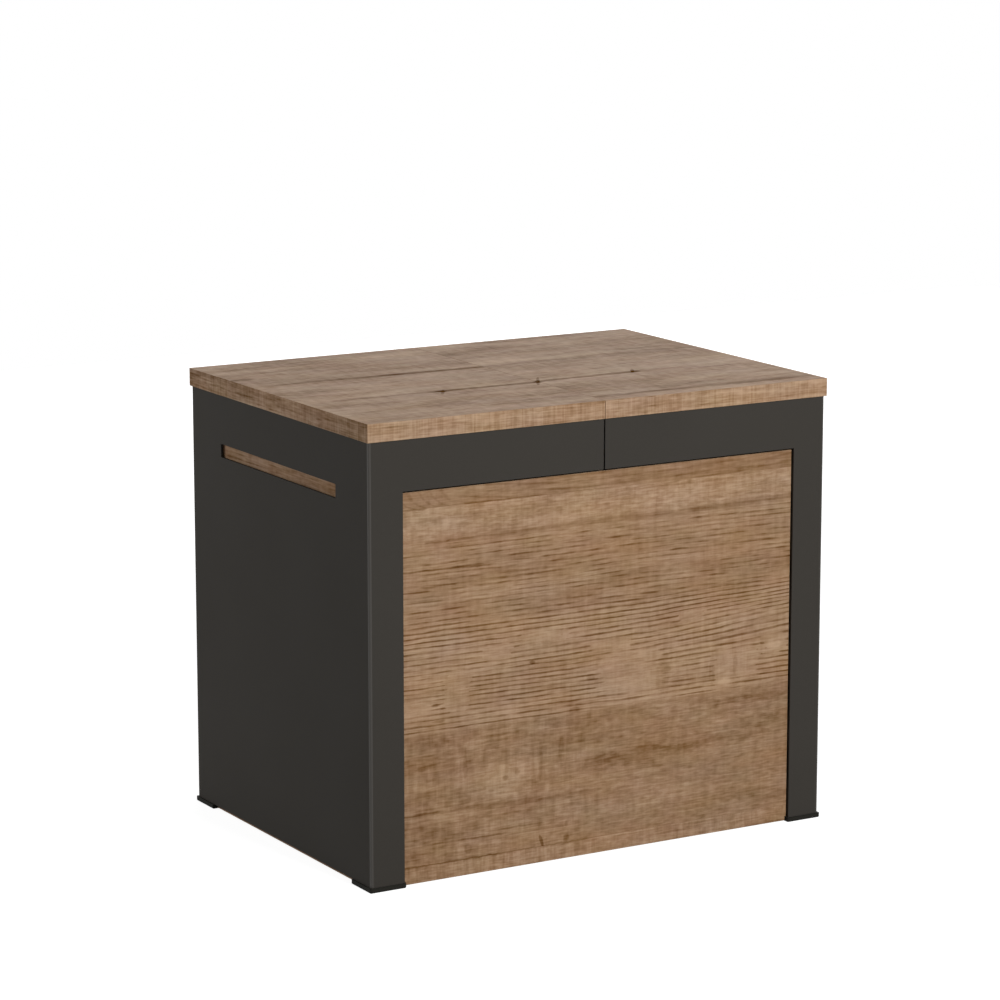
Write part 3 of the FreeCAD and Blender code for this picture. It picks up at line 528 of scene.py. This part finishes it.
def left_seat_figure(figure, on_edge):
    """The left board, with two long cracks that run up to the seam."""
    marks = placed_marks(figure, LEFT_SEAT_SPOTS, LEFT_SEAT_CRACKS)
    return seat_marks(figure, on_edge) + marks


def right_seat_figure(figure, on_edge):
    """The right board, with one crack on from the seam and one near the front."""
    marks = placed_marks(figure, RIGHT_SEAT_SPOTS, RIGHT_SEAT_CRACKS)
    return seat_marks(figure, on_edge) + marks


dress(oak_board("oak_left_seat", 40.1, "X", "Y", "Z", left_seat_figure), "left_top")
dress(oak_board("oak_right_seat", 77.7, "X", "Y", "Z", right_seat_figure), "right_top")

# %% [markdown]
# ## Boards that the camera sees less of
# The back and the ends of the container, its floor and the spare leaves have the same print. Nothing is placed
# by hand here: a slow cloud makes lively and calm patches take turns. Each board gets its own seed, so that no
# two are alike, and the end panels are a little darker.

# %% Other boards
SIDE_DARKER = 0.3
LEAF_SEED = 200.3
LEAF_SEED_STEP = 30.7


def plain_figure(figure, on_edge):
    """Lively and calm patches in turn, and a few long dark streaks."""
    lively = figure.cloud(260.0, 95.0)
    streaks = figure.bent(figure.cloud(200.0, 60.0) * 3.0).cloud(150.0, 5.0).fade(0.6, 1.5)
    streaks = streaks * (1.0 - on_edge)
    marks = oak_marks(figure, lively * 1.1 - on_edge * 0.3 - 0.1, 0.6, 0.4 + on_edge * 0.1)
    return marks + lively * 0.14 - streaks * 0.6 + 0.06


def side_figure(figure, on_edge):
    """The end panels: the plain figure, drawn a little darker."""
    return plain_figure(figure, on_edge) - SIDE_DARKER


dress(oak_board("oak_back", 101.9, "X", "Z", "Y", plain_figure), "container_back_panel")
dress(oak_board("oak_left_side", 131.3, "Y", "Z", "X", side_figure), "container_left_panel")
dress(oak_board("oak_right_side", 161.7, "Y", "Z", "X", side_figure), "container_right_panel")
dress(oak_board("oak_floor", 191.1, "X", "Y", "Z", plain_figure), "container_bottom_panel")
for number in range(1, 5):
    leaf = "leaf_%d" % number
    seed = LEAF_SEED + LEAF_SEED_STEP * number
    dress(oak_board("oak_" + leaf, seed, "X", "Z", "Y", plain_figure), leaf)

# %% [markdown]
# ## Powder-coated steel
# The ends are folded sheet with a matt anthracite powder coat. Powder melts into a skin with a very fine
# orange-peel texture. Two sizes of noise raise the skin by about a hundredth of a millimetre, and a slow one
# lets the roughness drift a little. The flat faces look dull, but the folds catch a fine light line. A fold
# faces two ways at once, so the product of two facings finds it and gives it more gloss.

# %% Powder-coated steel
COAT_DARK = paint(60, 57, 53)
COAT_LIGHT = paint(64, 61, 57)
COAT_ROUGHNESS = 0.5
FLAT_GLOSS = 0.015
FOLD_GLOSS = 0.3
PEEL_DEPTH = 0.012


def powder_coat():
    """The matt anthracite coat of the folded ends and the leg tubes."""
    material, tree, shader = fresh_material("powder_coat", COAT_ROUGHNESS, FLAT_GLOSS)
    skin = Figure(tree, *places(tree), 11.0)
    across, ahead, up = facings(tree)
    folds = (across * ahead + ahead * up + up * across).fade(0.05, 0.2)
    feed(tree, shader.inputs["Specular IOR Level"], folds * FOLD_GLOSS + FLAT_GLOSS)
    peel = skin.mottle(1.1) + skin.mottle(0.5) * 0.5
    drift = skin.mottle(180.0) * 0.4 + skin.mottle(0.7) * 0.5
    colour = colour_steps(tree, drift, -1.0, 1.0, (COAT_DARK, COAT_LIGHT))
    tree.links.new(colour, shader.inputs["Base Color"])
    feed(tree, shader.inputs["Roughness"], skin.mottle(120.0) * 0.03 + COAT_ROUGHNESS)
    relief(tree, shader, peel, PEEL_DEPTH)
    return material


ENDS = ("left", "right")
steel_pieces = [end + piece for end in ENDS for piece in ("_end_frame", "_leg_tubes")]
dress(powder_coat(), *steel_pieces)

# %% [markdown]
# ## Moulded plastic
# The foot caps and the floor glides are moulded black plastic with a dull, spark-eroded grain. The locating
# pins are a smoother plastic with more gloss, and the slider strips in the rails are milky nylon.

# %% Moulded plastic


def moulded(name, dark, light, roughness, gloss, grain, depth):
    """A moulded plastic with a fine mould grain of that size, in millimetres."""
    material, tree, shader = fresh_material(name, roughness, gloss)
    skin = Figure(tree, *places(tree), 5.0)
    tone = skin.mottle(grain * 3) * 0.5 + skin.mottle(40.0) * 0.6
    colour = colour_steps(tree, tone, -1.0, 1.0, (dark, light))
    tree.links.new(colour, shader.inputs["Base Color"])
    feed(tree, shader.inputs["Roughness"], skin.mottle(25.0) * 0.04 + roughness)
    relief(tree, shader, skin.mottle(grain), depth)
    return material


feet = [end + foot for end in ENDS for foot in ("_front_foot", "_back_foot")]
black_plastic = moulded("black_plastic", paint(36, 35, 32), paint(44, 43, 39), 0.55, 0.02, 0.6, 0.03)
dress(black_plastic, "container_glides", *feet)

pins = [end + "_top_pin" for end in ENDS] + ["leaf_%d_pins" % number for number in range(1, 5)]
pin_plastic = moulded("pin_plastic", paint(38, 37, 36), paint(50, 49, 47), 0.4, 0.3, 1.2, 0.01)
dress(pin_plastic, *pins)

slider_kinds = ("_outer_rail_sliders", "_rail_1_sliders", "_rail_2_sliders")
sliders = [end + kind for end in ENDS for kind in slider_kinds]
nylon = moulded("slider_nylon", paint(216, 213, 202), paint(230, 228, 219), 0.42, 0.3, 1.5, 0.01)
dress(nylon, *sliders)

# %% [markdown]
# ## Metal inside the bench
# The rails are drawn aluminium: the die leaves fine lines along the length, and the satin anodising keeps them
# from shining like a mirror. Brackets and screws are zinc plated, with a faint cloudy bloom.

# %% Drawn aluminium and zinc
METAL_GLOSS = 0.5
RAIL_ROUGHNESS = 0.38
ZINC_ROUGHNESS = 0.36


def drawn_aluminium():
    """Satin rails with die lines along X."""
    material, tree, shader = fresh_material("drawn_aluminium", RAIL_ROUGHNESS, METAL_GLOSS, metallic=1.0)
    x, y, z = places(tree)
    skin = Figure(tree, x, y + z, 0.0, 23.0)
    lines = skin.cloud(700.0, 0.35) * 0.6 + skin.cloud(900.0, 1.6) * 0.5
    tone = lines + skin.cloud(90.0, 30.0) * 0.3
    colours = (paint(134, 136, 140), paint(170, 172, 175))
    tree.links.new(colour_steps(tree, tone, -1.2, 1.2, colours), shader.inputs["Base Color"])
    feed(tree, shader.inputs["Roughness"], lines * 0.06 + RAIL_ROUGHNESS)
    relief(tree, shader, lines, 0.008)
    return material


def zinc_plate():
    """Brackets and screws with a cloudy bloom."""
    material, tree, shader = fresh_material("zinc_plate", ZINC_ROUGHNESS, METAL_GLOSS, metallic=1.0)
    skin = Figure(tree, *places(tree), 31.0)
    bloom = skin.mottle(9.0) * 0.6 + skin.mottle(2.2) * 0.5
    colours = (paint(126, 129, 134), paint(158, 160, 161), paint(176, 175, 169))
    tree.links.new(colour_steps(tree, bloom, -1.2, 1.2, colours), shader.inputs["Base Color"])
    feed(tree, shader.inputs["Roughness"], bloom * 0.07 + ZINC_ROUGHNESS)
    relief(tree, shader, skin.mottle(0.8), 0.006)
    return material


rails = ["centre_rail_front", "centre_rail_back"]
rails += [end + rail for end in ENDS for rail in ("_outer_rails", "_rail_1", "_rail_2")]
dress(drawn_aluminium(), *rails)
zinc = ["centre_rail_brackets", "centre_rail_fixings", "container_screws"]
zinc_kinds = ("_top_brackets", "_top_screws", "_outer_rail_brackets", "_outer_rail_fixings",
              "_rail_1_fixings", "_rail_2_fixings")
zinc += [end + kind for end in ENDS for kind in zinc_kinds]
dress(zinc_plate(), *zinc)

# %% [markdown]
# ## Raw battens
# The corner posts and the battens between the leaves are planed softwood, left raw. Softwood has broad pale
# bands between narrower dark ones, so a wave, faded in late and bent by a slow cloud, draws them.

# %% Raw battens
RING_STEP = 7.0


def raw_batten():
    """Planed softwood, with its grain upright."""
    material, tree, shader = fresh_material("raw_batten", 0.7, 0.3)
    x, y, z = places(tree)
    across = x * 0.8 + y
    skin = Figure(tree, z, across, 0.0, 47.0)
    bend = skin.cloud(160.0, 30.0) * 2.0
    rings = (across + bend).waves(RING_STEP).fade(-0.6, 1.0)
    tone = rings * -0.8 + skin.cloud(60.0, 1.2) * 0.25 + skin.cloud(220.0, 25.0) * 0.3
    colours = (paint(158, 124, 84), paint(186, 154, 113), paint(203, 175, 136))
    tree.links.new(colour_steps(tree, tone, -1.2, 0.6, colours), shader.inputs["Base Color"])
    relief(tree, shader, tone, 0.05)
    return material


dress(raw_batten(), "container_corner_posts", "leaf_dividers_left", "leaf_dividers_right")

# %% [markdown]
# ## Floor, backdrop and light
# The bench stands on a pale floor in a white room, which glows a little from everywhere. The glow that lights
# the bench is kept below white, so that a colour renders about as it was written. What the camera and the
# gloss see of the room is plain white, and the floor still takes the bench's soft shadow.

# %% Floor and backdrop
ROOM_GLOW = 0.15
FLOOR_HALF = 3.0
FLOOR_GREY = 0.45
FLOOR_WHITE = 0.90


def seen_directly(tree):
    """1 for rays from the camera, off gloss or through glass, and 0 for the light in between."""
    path = tree.nodes.new("ShaderNodeLightPath")
    seen = Field(tree, path.outputs["Is Camera Ray"])
    for ray in ("Is Glossy Ray", "Is Transmission Ray"):
        seen = seen.work("MAXIMUM", Field(tree, path.outputs[ray]))
    return seen


world = bpy.data.worlds.new("white_room")
world.use_nodes = True
bpy.context.scene.world = world
background = world.node_tree.nodes["Background"]
background.inputs["Color"].default_value = (1.0, 1.0, 1.0, 1.0)
feed(world.node_tree, background.inputs["Strength"],
     seen_directly(world.node_tree) * (1.0 - ROOM_GLOW) + ROOM_GLOW)

floor_mesh = bpy.data.meshes.new("floor")
corners = [(-FLOOR_HALF, -FLOOR_HALF, 0.0), (FLOOR_HALF, -FLOOR_HALF, 0.0),
           (FLOOR_HALF, FLOOR_HALF, 0.0), (-FLOOR_HALF, FLOOR_HALF, 0.0)]
floor_mesh.from_pydata(corners, [], [(0, 1, 2, 3)])
floor = bpy.data.objects.new("floor", floor_mesh)
bpy.context.scene.collection.objects.link(floor)

floor_material, floor_tree, floor_shader = fresh_material("pale_floor", 0.9, 0.0)
floor_shader.inputs["Base Color"].default_value = (FLOOR_GREY, FLOOR_GREY, FLOOR_GREY, 1.0)
floor_shader.inputs["Emission Color"].default_value = (1.0, 1.0, 1.0, 1.0)
feed(floor_tree, floor_shader.inputs["Emission Strength"], seen_directly(floor_tree) * FLOOR_WHITE)
floor_mesh.materials.append(floor_material)
print("floor:", 2 * FLOOR_HALF, "m square")

# %% [markdown]
# The main lamp stands in front, a little to the right of the middle, so that no light falls into the pull slot
# on the left. Three weaker lamps stand behind the bench: the left and the right one keep the ends from going
# black, and the back one skims over the seat and gives it a grey veil. The lamps could be set in watts, but a
# level is easier to judge: 1 means that a face turned to the lamp shows its own colour.

# %% Soft lamps
LAMP_AIM = Vector((0.0, 0.0, 0.25))


def soft_lamp(name, at, width, height, level):
    """A soft lamp that lights a face turned straight to it to that level."""
    lamp = bpy.data.lights.new(name, "AREA")
    lamp.shape = "RECTANGLE"
    lamp.size = width
    lamp.size_y = height
    way = LAMP_AIM - Vector(at)
    lamp.energy = level * math.pi ** 2 * way.length_squared
    stand = bpy.data.objects.new(name, lamp)
    stand.location = at
    stand.rotation_euler = way.to_track_quat("-Z", "Y").to_euler()
    bpy.context.scene.collection.objects.link(stand)
    print(name, round(lamp.energy, 1), "W")


soft_lamp("front_lamp", (0.45, -3.5, 1.9), 1.0, 0.6, 0.77)
soft_lamp("left_lamp", (-2.9, 2.4, 0.8), 1.6, 1.0, 0.34)
soft_lamp("right_lamp", (3.3, 0.9, 0.8), 1.6, 1.0, 0.24)
soft_lamp("back_lamp", (2.3, 3.1, 1.2), 3.0, 1.6, 0.32)
